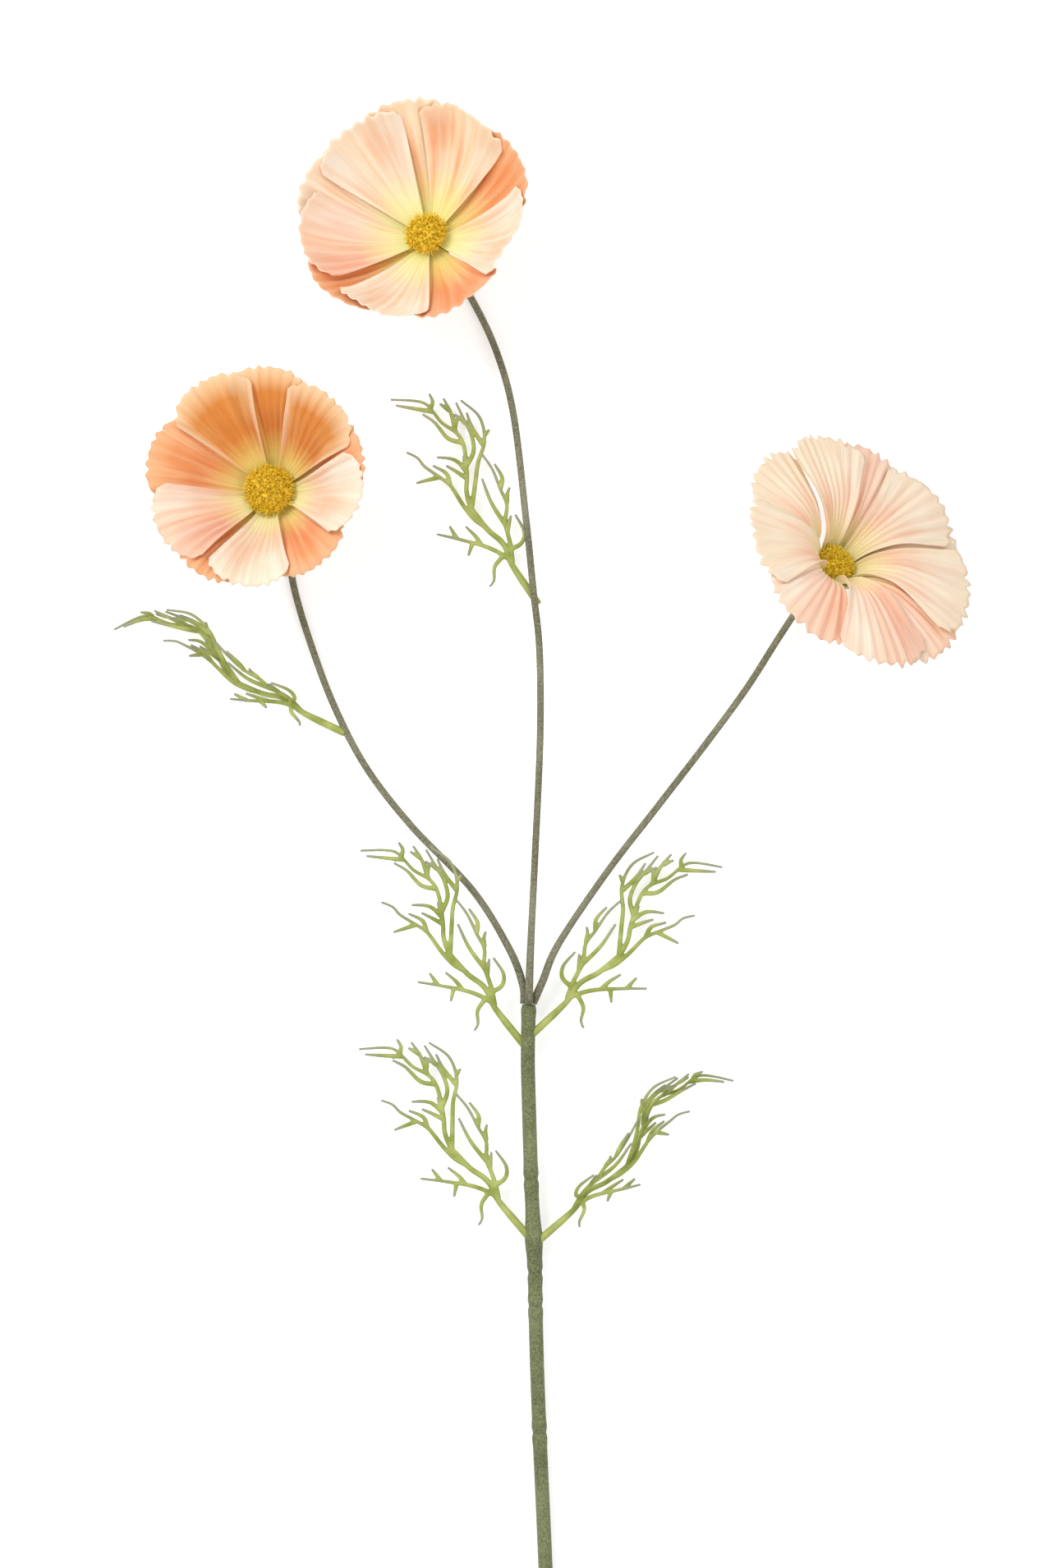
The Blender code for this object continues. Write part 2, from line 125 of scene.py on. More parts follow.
def petalFabric(name, look):
    # Dyed, heat-pleated polyester: soft streaks that run out from the claw, matt with a slight sheen. The
    # deep orange of the amber and coral looks is partly painted shade.
    material, tree, shader = newMaterial(name, 0.72, 0.2)
    uv = addNode(tree, "ShaderNodeUVMap", {"uv_map": "UVMap"}).outputs["UV"]
    split = addNode(tree, "ShaderNodeSeparateXYZ", None, {"Vector": uv})
    along = split.outputs["Y"]
    streakMap = addNode(tree, "ShaderNodeMapping", {"in_Scale": clothLook["streakScale"],
                                                    "in_Location": (look["seed"], 0, 0)}, {"Vector": uv})
    streak = addNode(tree, "ShaderNodeTexNoise", {"in_Scale": 1.6, "in_Detail": 4.0},
                     {"Vector": streakMap.outputs[0]}).outputs[0]
    patchMap = addNode(tree, "ShaderNodeMapping", {"in_Scale": clothLook["patchScale"],
                                                   "in_Location": (0, look["seed"], clothLook["patchDepth"])},
                       {"Vector": uv})
    patch = addNode(tree, "ShaderNodeTexNoise", {"in_Scale": 1.5, "in_Detail": 1.5},
                    {"Vector": patchMap.outputs[0]}).outputs[0]
    tint = maths(tree, "ADD", maths(tree, "MULTIPLY", streak, clothLook["streakShare"]),
                 maths(tree, "MULTIPLY", patch, clothLook["patchShare"]))
    body = ramp(tree, tint, [(0.36, look["pale"]), (0.52, look["middle"]), (0.68, look["deep"])])
    wander = maths(tree, "MULTIPLY", maths(tree, "SUBTRACT", streak, 0.5), clothLook["heartWobble"])
    heartEnds = clothLook["heartEnds"]
    heart = ramp(tree, maths(tree, "ADD", along, wander),
                 [(heartEnds[0], "#FFFFFF"), (heartEnds[1], "#000000")])
    coloured = mixColour(tree, heart, body, look["heart"])
    rim = ramp(tree, along, [(clothLook["rimStarts"], "#000000"), (1.0, "#FFFFFF")])
    aside = maths(tree, "ABSOLUTE", maths(tree, "SUBTRACT", split.outputs["X"], 0.5), 0.0)
    strip = [ramp(tree, source, [(ends[0], "#000000"), (ends[1], "#FFFFFF")])
             for source, ends in ((aside, clothLook["stripEnds"]), (along, clothLook["stripStarts"]))]
    pale = maths(tree, "MAXIMUM", rim, maths(tree, "MULTIPLY", strip[0], strip[1]))
    coloured = mixColour(tree, maths(tree, "MULTIPLY", pale, look["rimShare"]), coloured, look["rim"])
    tree.links.new(coloured, shader.inputs["Base Color"])
    weave = addNode(tree, "ShaderNodeTexNoise", {"in_Scale": clothLook["weaveScale"], "in_Detail": 2.0},
                    {"Vector": addNode(tree, "ShaderNodeTexCoord").outputs["Object"]}).outputs[0]
    veins = addNode(tree, "ShaderNodeTexWave", {"in_Scale": clothLook["veinScale"], "in_Distortion": 1.5,
                                                "in_Detail": 2.0}, {"Vector": uv}).outputs["Fac"]
    heights = maths(tree, "ADD", maths(tree, "MULTIPLY", weave, clothLook["weaveShare"]), veins)
    grainBump(tree, shader, heights, clothLook["bumpStrength"], clothLook["bumpDepth"])
    shader.inputs["Sheen Weight"].default_value = 0.15
    shader.inputs["Subsurface Weight"].default_value = 0.18
    shader.inputs["Subsurface Radius"].default_value = (0.004, 0.002, 0.001)
    shader.inputs["Subsurface Scale"].default_value = 1.0
    return material


def grainedPlastic(name, dark, light):
    # Plastic under short flock, or with a grained skin: granular, dull, with random paler patches, and paler
    # where the grain stands out, a painted highlight.
    material, tree, shader = newMaterial(name, 0.9, 0.15)
    spot = addNode(tree, "ShaderNodeTexCoord").outputs["Object"]
    grain = addNode(tree, "ShaderNodeTexNoise", {"in_Scale": 1500.0, "in_Detail": 3.0},
                    {"Vector": spot}).outputs[0]               # about 0.7 mm
    patches = addNode(tree, "ShaderNodeTexNoise", {"in_Scale": 60.0, "in_Detail": 2.0},
                      {"Vector": spot}).outputs[0]             # about 17 mm
    # The grain that raises the bumps also pales their tops, a painted highlight. The patches are the
    # plastic's random tone.
    tint = maths(tree, "ADD", maths(tree, "MULTIPLY", grain, 0.65), maths(tree, "MULTIPLY", patches, 0.35))
    tree.links.new(ramp(tree, tint, [(0.38, dark), (0.62, light)]), shader.inputs["Base Color"])
    grainBump(tree, shader, grain, 0.6, 0.0004)
    shader.inputs["Sheen Weight"].default_value = 0.2
    return material


def mouldedLeaf():
    # Soft moulded PE: yellow green, fading to dry grey at the strand tips, satin.
    material, tree, shader = newMaterial("moulded PE leaf", 0.5, 0.35)
    tip = addNode(tree, "ShaderNodeAttribute", {"attribute_name": "tip"}).outputs["Fac"]
    spot = addNode(tree, "ShaderNodeTexCoord").outputs["Object"]
    noise = addNode(tree, "ShaderNodeTexNoise", {"in_Scale": 160.0, "in_Detail": 3.0},
                    {"Vector": spot}).outputs[0]               # about 6 mm
    body = ramp(tree, noise, [(0.35, "#8E9A42"), (0.65, "#B4BC6C")])
    coloured = mixColour(tree, ramp(tree, tip, [(0.45, "#000000"), (1.0, "#FFFFFF")]), body, "#9B9D86")
    tree.links.new(coloured, shader.inputs["Base Color"])
    grainBump(tree, shader, noise, 0.3, 0.0003)
    return material


def floretThread(name, dark, light):
    # Cut polyester thread, dyed: small patches of dark and bright gold, matt.
    material, tree, shader = newMaterial(name, 0.7, 0.25)
    spot = addNode(tree, "ShaderNodeTexCoord").outputs["Object"]
    noise = addNode(tree, "ShaderNodeTexNoise", {"in_Scale": 900.0, "in_Detail": 2.0},
                    {"Vector": spot}).outputs[0]               # about 1 mm
    tree.links.new(ramp(tree, noise, [(0.36, dark), (0.62, light)]), shader.inputs["Base Color"])
    return material


def newPiece(name, bm, material, node):
    mesh = bpy.data.meshes.new(name)
    bm.to_mesh(mesh)
    bm.free()
    dressPiece(name, mesh, material, node)


def dressPiece(name, mesh, material, node):
    mesh.shade_smooth()
    mesh.materials.clear()
    mesh.materials.append(material)
    piece = bpy.data.objects.new(name, mesh)
    bpy.context.scene.collection.objects.link(piece)
    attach(piece, "root")
    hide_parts(node)


def bakeModifiers(obj):                        # the evaluated shape as a plain mesh
    graph = bpy.context.evaluated_depsgraph_get()
    graph.update()
    mesh = bpy.data.meshes.new_from_object(obj.evaluated_get(graph))
    bpy.data.objects.remove(obj, do_unlink=True)
    return mesh


def looseObject(name, bm):
    mesh = bpy.data.meshes.new(name)
    bm.to_mesh(mesh)
    bm.free()
    obj = bpy.data.objects.new(name, mesh)
    bpy.context.scene.collection.objects.link(obj)
    return obj


def turnedShape(outline, sides):                # a closed outline of (radius, height) spun round its axis
    bm = bmesh.new()
    verts = [bm.verts.new((r, 0, z)) for r, z in outline]
    edges = [bm.edges.new(pair) for pair in zip(verts, verts[1:])]
    bmesh.ops.spin(bm, geom=verts + edges, cent=(0, 0, 0), axis=(0, 0, 1), angle=2 * math.pi,
                   steps=sides, use_duplicate=False)
    bmesh.ops.remove_doubles(bm, verts=bm.verts, dist=1e-4)
    return bm


def setOnFlower(bm, matrix):                   # moves it to its place and turns its faces outwards
    for vert in bm.verts:
        vert.co = place(matrix @ vert.co)
    bmesh.ops.recalc_face_normals(bm, faces=bm.faces)


def smoothRoute(corners, step):                # Catmull-Rom points about one step apart
    corners = [Vector(c) for c in corners]
    padded = [2 * corners[0] - corners[1]] + corners + [2 * corners[-1] - corners[-2]]
    route = [corners[0]]
    for before, start, end, after in zip(padded, padded[1:], padded[2:], padded[3:]):
        count = max(1, round((end - start).length / step))
        for index in range(1, count + 1):
            t = index / count
            route.append(0.5 * (2 * start + (end - before) * t
                                + (2 * before - 5 * start + 4 * end - after) * t ** 2
                                + (3 * start - before - 3 * end + after) * t ** 3))
    return route


def addTube(bm, route, radii, sides):          # closed tube, route in mm, vertices in metres
    rings = []
    for index, centre in enumerate(route):
        before, after = route[max(index - 1, 0)], route[min(index + 1, len(route) - 1)]
        along = (after - before).normalized()
        side = along.cross(Vector((0, 0, 1)))
        side = side.normalized() if side.length > 1e-6 else Vector((1, 0, 0))
        up = side.cross(along)
        loop = []
        for corner in range(sides):
            turn = 2 * math.pi * (corner + 0.5) / sides
            outward = (side * math.cos(turn) + up * math.sin(turn)) * radii[index]
            loop.append(bm.verts.new(place(centre + outward)))
        rings.append(loop)
    for low, high in zip(rings, rings[1:]):
        for corner in range(sides):
            after = (corner + 1) % sides
            bm.faces.new((low[corner], low[after], high[after], high[corner]))
    bm.faces.new(list(reversed(rings[0])))
    bm.faces.new(rings[-1])
    bmesh.ops.recalc_face_normals(bm, faces=bm.faces)


stem = {
    "radius": 2.45, "sides": 32, "step": 1.5,
    "shoulderY": -90.0, "shoulderRadius": 3.1, "shoulderReach": 6.0,
    "seat": 0.32,                              # each end reaches into its seam
    "lip": 0.22, "lipPlace": 2.2, "lipWidth": 1.6, "grooveWidth": 0.9,    # the lips of a seam
    "lengths": {
        "stem_lower": [(7.0, -300.0, 2.37), (4.4, -240.0, 3.6), (3.0, -201.0, 4.4), (1.0, -156.6, 5.3)],
        "stem_middle": [(1.0, -156.0, 5.3), (0.2, -135.0, 5.7), (-0.4, -113.0, 6.1)],
        "stem_collar": [(-0.4, -112.4, 6.1), (-0.5, -101.6, 6.4)],
        "stem_leaf_joint": [(-0.5, -101.0, 6.4), (-1.0, -89.0, 6.7), (-1.9, -69.4, 7.0)],
        "stem_upper": [(-1.9, -68.8, 7.0), (-2.6, -45.0, 7.5), (-3.0, -28.0, 7.9), (-2.7, -9.6, 8.2)],
    },
}


def buildStem(material):
    for node, corners in stem["lengths"].items():
        route = smoothRoute(corners, stem["step"])
        route[0] = route[0] + (route[0] - route[1]).normalized() * stem["seat"]
        route[-1] = route[-1] + (route[-1] - route[-2]).normalized() * stem["seat"]
        radii = []
        for index, spot in enumerate(route):
            fromEnd = min((spot - route[0]).length, (spot - route[-1]).length)
            shoulder = math.exp(-((spot.y - stem["shoulderY"]) / stem["shoulderReach"]) ** 2)
            radius = stem["radius"] + (stem["shoulderRadius"] - stem["radius"]) * shoulder
            atCut = node == "stem_lower" and index < len(route) / 2
            if not atCut:
                swell = math.exp(-((fromEnd - stem["lipPlace"]) / stem["lipWidth"]) ** 2)
                groove = math.exp(-(fromEnd / stem["grooveWidth"]) ** 2)
                radius += stem["lip"] * (swell - groove)
            radii.append(radius)
        bm = bmesh.new()
        addTube(bm, route, radii, stem["sides"])
        newPiece(node + "_flocked", bm, material, node)


branch = {
    "radius": 1.2, "footRadius": 1.4, "footLength": 30.0, "sides": 20, "step": 2.5,
    "straightEnd": 4.0, "belowFlower": 7.3,    # the top end runs along the flower's axis
    "routes": {
        "left": [
            (-4.3, -9.0, 7.4), (-4.7, -2.5, 7.6), (-9.5, 10.0, 8.2), (-22.0, 30.0, 9.0), (-43.0, 52.0, 8.4),
            (-58.5, 72.0, 6.8), (-69.5, 93.0, 4.6), (-77.5, 114.0, 2.4), (-83.0, 132.0, 1.24),
            (-85.6, 146.0, 2.4), (-87.6, 157.0, 5.6),
        ],
        "top": [
            (-2.7, -9.0, 10.4), (-2.0, 11.5, 10.6), (-0.5, 42.5, 10.4), (1.2, 82.0, 9.8), (1.0, 112.0, 9.4),
            (-1.0, 131.5, 9.2), (-3.6, 157.0, 8.8), (-8.0, 193.5, 6.4), (-14.0, 215.5, 3.4),
            (-22.5, 233.5, 1.3), (-28.4, 241.6, 3.4),
        ],
        "right": [
            (-1.2, -8.8, 7.4), (2.2, -1.0, 8.3), (7.5, 11.5, 9.6), (24.0, 36.0, 10.6), (41.0, 58.0, 9.8),
            (58.0, 80.0, 8.0), (72.0, 99.0, 5.8), (83.5, 117.0, 4.6),
        ],
    },
}


def buildBranch(name, flower, material):
    corners = [Vector(c) for c in branch["routes"][name]]
    for depth in (branch["straightEnd"], 0.0):
        corners.append(Vector(flower["base"]) - flowerAxis(flower) * (depth + branch["belowFlower"]))
    route = smoothRoute(corners, branch["step"])
    radii = []
    for spot in route:
        thick = max(0.0, 1.0 - (spot - route[0]).length / branch["footLength"])
        radii.append(branch["radius"] + (branch["footRadius"] - branch["radius"]) * thick)
    bm = bmesh.new()
    addTube(bm, route, radii, branch["sides"])
    newPiece(name + "_branch_flocked", bm, material, name + "_branch")


petal = {
    "start": 2.6, "thickness": 0.32, "rows": 34, "columns": 56, "cupSteps": 16, "claw": 0.85,
    "rounding": 0.1, "layerLift": 1.5,
    "toothDrift": 0.12, "toothMiddle": 0.6, "toothEven": 0.7, "toothUneven": 0.5,
    "pleatCount": (6.5, 8.5), "pleatHeight": 0.42, "pleatDrift": 0.8, "pleatRise": 2.2, "pleatAtClaw": 0.55,
    "ruffleHeight": 1.5, "ruffleWaves": 3.1, "backRuffle": 0.5,
    "sideFold": 1.7, "sideFoldShare": 0.28, "sideFoldEnd": 1.15,    # the front petals' sides curl up
    "frontDip": -0.55, "backRise": 0.45,       # limits that keep the two layers apart
}

flowers = {
    "left": {
        "base": (-90.0, 165.5, 21.0), "lean": 10.0, "towards": 144.0,
        "cup": (10, 36, 52, 55, 42, 12), "swing": 0.0, "swingTowards": 0.0,
        "length": 49.0, "stretch": 0.02, "stretchTowards": 120.0,
        "front": (120, 45, -10, -95, -152), "back": (166, 84, 16, -52, -122),
        "frontHalfWidth": 26.5, "backHalfWidth": 26.0, "discRadius": 8.4, "teeth": 9, "toothHeight": 1.5,
        # The amber and coral looks hold painted shade, from the deep cup's shadow and the doubled cloth, over
        # the peach dye.
        "frontLooks": ("amberPaintedShade", "amberPaintedShade", "cream", "cream", "blush"),
        "backLooks": ("coralPaintedShade", "amberPaintedShade", "coralPaintedShade", "coralPaintedShade", "coralPaintedShade"),
    },
    "top": {
        "base": (-36.4, 251.4, 20.4), "lean": 22.0, "towards": 127.0,
        "cup": (10, 18, 30, 42, 52, 60), "swing": 0.0, "swingTowards": 0.0,
        "length": 50.0, "stretch": 0.02, "stretchTowards": 80.0,
        "front": (126, 62, -15, -107, -170), "back": (160, 97, 25, -62, -138),
        "frontHalfWidth": 27.5, "backHalfWidth": 26.0, "discRadius": 7.0, "teeth": 8, "toothHeight": 1.7,
        # The coral looks of the lower sheet hold painted shade, from lying under the upper sheet in the cup.
        "frontLooks": ("cream", "peach", "cream", "cream", "blush"),
        "backLooks": ("cream", "peach", "coralPaintedShade", "coralPaintedShade", "coralPaintedShade"),
    },
    "right": {
        "base": (99.0, 138.5, 15.15), "lean": 42.0, "towards": 48.0,
        "cup": (15, 68, 35, 8, 2, -4), "swing": 7.0, "swingTowards": 140.0,
        "length": 52.0, "stretch": 0.05, "stretchTowards": -60.0,
        "front": (100, 34, -20, -82, -170), "back": (67, 8, -50, -128, 145),
        "frontHalfWidth": 25.5, "backHalfWidth": 25.0, "discRadius": 7.0, "teeth": 9, "toothHeight": 2.8,
        "frontLooks": ("ivory", "ivory", "ivory", "blush", "ivory"),
        "backLooks": ("blush", "ivory", "blush", "blush", "ivory"),
    },
}

petalLooks = {
    "cream": {"pale": "#FDF2DF", "middle": "#FCE7CE", "deep": "#F9CDAE", "heart": "#F2EE9E", "rim": "#FBEBD3",
              "rimShare": 0.5, "seed": 1.3},
    "peach": {"pale": "#FCEBD2", "middle": "#FAD5B2", "deep": "#F4AE84", "heart": "#F3ED98", "rim": "#F9E0C0",
              "rimShare": 0.7, "seed": 4.1},
    "blush": {"pale": "#FCEAD6", "middle": "#FBD3BB", "deep": "#F7B699", "heart": "#F3F0A6", "rim": "#F8D9BE",
              "rimShare": 0.4, "seed": 7.7},
    # Coral: peach dye, deepened to orange by painted shade where the lower sheet lies under the upper sheet
    # in the cup.
    "coralPaintedShade": {"pale": "#F8C7A0", "middle": "#F4A87A", "deep": "#EC8F58", "heart": "#F0DC84", "rim": "#F6C49E",
              "rimShare": 0.4, "seed": 9.2},
    # Amber: peach dye, with a deep orange middle inside a pale rim. The deep orange is painted shade of the
    # deep cup and the doubled cloth.
    "amberPaintedShade": {"pale": "#F7C793", "middle": "#EBA05C", "deep": "#E08A42", "heart": "#F3E488", "rim": "#F9D0A8",
              "rimShare": 0.9, "seed": 12.5},
    "ivory": {"pale": "#FBEBD0", "middle": "#FAE0C4", "deep": "#F6C3A6", "heart": "#ECE59A", "rim": "#F3DDBD",
              "rimShare": 0.5, "seed": 15.4},
}


def flowerAxis(flower):
    lean, towards = math.radians(flower["lean"]), math.radians(flower["towards"])
    return Vector((math.sin(lean) * math.cos(towards), math.sin(lean) * math.sin(towards), math.cos(lean)))


def flowerMatrix(flower):                      # from the flower's own millimetres to the drawing's
    turn = Vector((0, 0, 1)).rotation_difference(flowerAxis(flower)).to_matrix().to_4x4()
    return Matrix.Translation(Vector(flower["base"])) @ turn


def cupAngle(flower, share, azimuth):
    cup = flower["cup"]
    spot = min(max(share, 0.0), 1.0) * (len(cup) - 1)
    index = min(int(spot), len(cup) - 2)
    blend = spot - index
    blend = blend * blend * (3 - 2 * blend)
    swing = flower["swing"] * math.cos(math.radians(azimuth - flower["swingTowards"])) * share
    return math.radians(cup[index] * (1 - blend) + cup[index + 1] * blend + swing)


def cupPoint(flower, arc, azimuth, lift):      # point of the cup, lifted square to its surface
    radius, height = petal["start"], 0.0
    length = arc - petal["start"]
    reach = flower["length"] - petal["start"]
    for index in range(petal["cupSteps"]):
        angle = cupAngle(flower, length * (index + 0.5) / petal["cupSteps"] / reach, azimuth)
        radius += math.cos(angle) * length / petal["cupSteps"]
        height += math.sin(angle) * length / petal["cupSteps"]
    angle = cupAngle(flower, length / reach, azimuth)
    radius -= math.sin(angle) * lift
    height += math.cos(angle) * lift
    turn = math.radians(azimuth)
    return Vector((radius * math.cos(turn), radius * math.sin(turn), height))


def petalTip(flower, length, phase, across):   # length of the petal at this place across it, teeth included
    beat = (across * 0.5 + 0.5) * flower["teeth"] + petal["toothDrift"] * math.sin(5 * across + phase[0])
    tooth = 1 - abs(2 * (beat % 1.0) - 1)
    uneven = petal["toothEven"] + petal["toothUneven"] * math.sin(9 * across + phase[1])
    rounded = length * (1 - petal["rounding"] * abs(across) ** 3)
    return rounded + flower["toothHeight"] * (tooth - petal["toothMiddle"]) * uneven


def petalHeight(isFront, pleats, phase, across, along):    # pleats, ruffle and side folds above the cup
    drift = petal["pleatDrift"] * math.sin(2.5 * across + phase[3])
    pleat = math.sin(pleats * math.pi * across + phase[2] + drift) * min(1.0, along * petal["pleatRise"])
    height = petal["pleatHeight"] * pleat * (petal["pleatAtClaw"] + (1 - petal["pleatAtClaw"]) * along)
    ruffle = petal["ruffleHeight"] * math.sin(petal["ruffleWaves"] * across + phase[0]) * along ** 4
    height += ruffle * (1 if isFront else petal["backRuffle"])
    if not isFront:
        return min(height, petal["backRise"])
    edge = max(0.0, abs(across) - 1 + petal["sideFoldShare"]) / petal["sideFoldShare"]
    height += petal["sideFold"] * edge ** 2 * math.sin(math.pi * min(1.0, along * petal["sideFoldEnd"]))
    return max(height, petal["frontDip"])


def buildPetal(node, flower, centre, halfWidth, lift, material, seed):
    dice = random.Random(seed)
    phase = [dice.uniform(0, 2 * math.pi) for _ in range(4)]
    pleats = dice.uniform(*petal["pleatCount"])
    stretch = math.cos(math.radians(centre - flower["stretchTowards"]))
    length = flower["length"] * (1 + flower["stretch"] * stretch)
    matrix = flowerMatrix(flower)
    bm = bmesh.new()
    uvLayer = bm.loops.layers.uv.new("UVMap")
    grid = []
    shares = {}
    for row in range(petal["rows"] + 1):
        along = row / petal["rows"]
        line = []
        for column in range(petal["columns"] + 1):
            across = 2 * column / petal["columns"] - 1
            arc = petal["start"] + (petalTip(flower, length, phase, across) - petal["start"]) * along
            azimuth = centre + across * halfWidth * (petal["claw"] + (1 - petal["claw"]) * along)
            height = lift + petalHeight(lift > 0, pleats, phase, across, along)
            vert = bm.verts.new(place(matrix @ cupPoint(flower, arc, azimuth, height)))
            shares[vert] = (across * 0.5 + 0.5, along)
            line.append(vert)
        grid.append(line)
    for low, high in zip(grid, grid[1:]):
        for column in range(petal["columns"]):
            face = bm.faces.new((low[column], low[column + 1], high[column + 1], high[column]))
            for loop in face.loops:
                loop[uvLayer].uv = shares[loop.vert]
    bmesh.ops.recalc_face_normals(bm, faces=bm.faces)
    sheet = looseObject(node + "_sheet", bm)
    wall = sheet.modifiers.new("cloth thickness", "SOLIDIFY")
    wall.thickness = petal["thickness"] / 1000
    wall.offset = 0.0
    dressPiece(node + "_cloth", bakeModifiers(sheet), material, node)


calyx = {
    "outline": [(0.0, -7.0), (1.45, -7.0), (1.7, -6.4), (1.9, -5.6), (2.6, -4.8), (3.5, -3.8), (4.2, -2.4),
                (4.4, -1.2), (4.3, -0.7), (0.0, -0.7)],
    "sides": 40, "sepals": 8, "sepalRows": 8, "sepalStart": 1.4, "sepalLength": 9.0, "sepalWidth": 1.9,
    "sepalThickness": 0.5, "sepalThinning": 0.6, "sepalGap": 0.9,
}


def buildCalyx(name, flower, material):
    bm = turnedShape(calyx["outline"], calyx["sides"])
    for index in range(calyx["sepals"]):       # pointed bracts that hug the back of the petals
        azimuth = 360 * index / calyx["sepals"]
        rings = []
        for row in range(calyx["sepalRows"] + 1):
            along = row / calyx["sepalRows"]
            width = calyx["sepalWidth"] * math.sin(math.pi * (0.25 + 0.72 * along)) * (1 - 0.5 * along)
            arc = petal["start"] + calyx["sepalStart"] + calyx["sepalLength"] * along
            loop = []
            for side, depth in ((-1, 0), (1, 0), (1, 1), (-1, 1)):
                thick = calyx["sepalThickness"] * (1 - calyx["sepalThinning"] * along)
                lift = -calyx["sepalGap"] - depth * thick
                turn = math.degrees(side * width / arc)
                loop.append(bm.verts.new(cupPoint(flower, arc, azimuth + turn, lift)))
            rings.append(loop)
        for low, high in zip(rings, rings[1:]):
            for corner in range(4):
                after = (corner + 1) % 4
                bm.faces.new((low[corner], low[after], high[after], high[corner]))
        bm.faces.new(list(reversed(rings[0])))
        bm.faces.new(rings[-1])
    setOnFlower(bm, flowerMatrix(flower))
    newPiece(name + "_calyx_moulded", bm, material, name + "_calyx")


disc = {
    "neckRadius": 2.1, "bottom": -0.3, "neckTop": 2.6, "rimHeight": 5.2, "domeHeight": 3.2, "sides": 48,
    "inset": 0.6, "domeSteps": 12,             # the core under the threads is this much narrower
    "density": 3.0,                            # threads for each square millimetre
    "threadLength": 1.7, "threadRadius": 0.19, "threadTaper": 0.55, "threadSides": 5,
    "threadTilt": 0.5, "threadScales": (0.65, 1.2),
}


def threadTree(threadObject, material):        # scatters threads over a dome, standing out from it
    tree = bpy.data.node_groups.new("thread dome", "GeometryNodeTree")
    sockets = tree.interface
    sockets.new_socket("Geometry", in_out="INPUT", socket_type="NodeSocketGeometry")
    sockets.new_socket("Threads per square metre", in_out="INPUT", socket_type="NodeSocketFloat")
    sockets.new_socket("Seed", in_out="INPUT", socket_type="NodeSocketInt")
    sockets.new_socket("Geometry", in_out="OUTPUT", socket_type="NodeSocketGeometry")
    start = addNode(tree, "NodeGroupInput")
    end = addNode(tree, "NodeGroupOutput")
    scatter = addNode(tree, "GeometryNodeDistributePointsOnFaces", None,
                      {"Mesh": start.outputs[0], "Density": start.outputs[1], "Seed": start.outputs[2]})
    most = disc["threadTilt"]                  # radians from square to the dome
    tilt = addNode(tree, "FunctionNodeRandomValue",
                   {"data_type": "FLOAT_VECTOR", "in_0": (-most, -most, 0.0), "in_1": (most, most, 6.28)},
                   {"Seed": start.outputs[2]})
    lean = addNode(tree, "FunctionNodeRotateRotation", {"rotation_space": "LOCAL"},
                   {"Rotation": scatter.outputs["Rotation"], "Rotate By": tilt.outputs[0]})
    scales = disc["threadScales"]
    size = addNode(tree, "FunctionNodeRandomValue",
                   {"data_type": "FLOAT", "in_2": scales[0], "in_3": scales[1]}, {"Seed": start.outputs[2]})
    thread = addNode(tree, "GeometryNodeObjectInfo", {"in_Object": threadObject})
    copies = addNode(tree, "GeometryNodeInstanceOnPoints", None,
                     {"Points": scatter.outputs["Points"], "Instance": thread.outputs["Geometry"],
                      "Rotation": lean.outputs[0], "Scale": size.outputs[1]})
    real = addNode(tree, "GeometryNodeRealizeInstances", None, {"Geometry": copies.outputs[0]})
    dressed = addNode(tree, "GeometryNodeSetMaterial", {"in_Material": material},
                      {"Geometry": real.outputs[0]})
    tree.links.new(dressed.outputs[0], end.inputs[0])
    return tree


def discOutline(radius):
    rim = disc["rimHeight"]
    outline = [(0.0, disc["bottom"]), (disc["neckRadius"], disc["bottom"]),
               (disc["neckRadius"], disc["neckTop"]), (radius - 0.5, rim - 0.3), (radius, rim)]
    for index in range(1, disc["domeSteps"]):
        turn = math.pi / 2 * index / disc["domeSteps"]
        outline.append((radius * math.cos(turn), rim + disc["domeHeight"] * math.sin(turn)))
    outline.append((0.0, rim + disc["domeHeight"]))
    return outline


def buildDisc(name, flower, material, seed):
    matrix = flowerMatrix(flower)
    bm = turnedShape(discOutline(flower["discRadius"] - disc["inset"]), disc["sides"])
    setOnFlower(bm, matrix)
    core = bm.copy()
    rimCentre = place(matrix @ Vector((0, 0, disc["rimHeight"])))
    axis = flowerAxis(flower)
    low = [f for f in bm.faces if (f.calc_center_median() - rimCentre).dot(axis) < 0]
    bmesh.ops.delete(bm, geom=low, context="FACES")            # threads stand on the dome only
    length = disc["threadLength"] / 1000
    foot = disc["threadRadius"] / 1000
    threadBm = bmesh.new()
    bmesh.ops.create_cone(threadBm, cap_ends=True, segments=disc["threadSides"], radius1=foot,
                          radius2=foot * disc["threadTaper"], depth=length,
                          matrix=Matrix.Translation((0, 0, length / 2.2)))    # its foot sinks into the dome
    thread = looseObject(name + "_thread", threadBm)
    dome = looseObject(name + "_dome", bm)
    scatter = dome.modifiers.new("threads", "NODES")
    scatter.node_group = threadTree(thread, material)
    sockets = scatter.node_group.interface.items_tree
    inputs = {socket.name: socket.identifier for socket in sockets if socket.in_out == "INPUT"}
    scatter[inputs["Threads per square metre"]] = disc["density"] * 1e6
    scatter[inputs["Seed"]] = seed
    threads = bakeModifiers(dome)
    bpy.data.objects.remove(thread, do_unlink=True)
    core.from_mesh(threads)
    newPiece(name + "_disc_threads", core, material, name + "_disc")


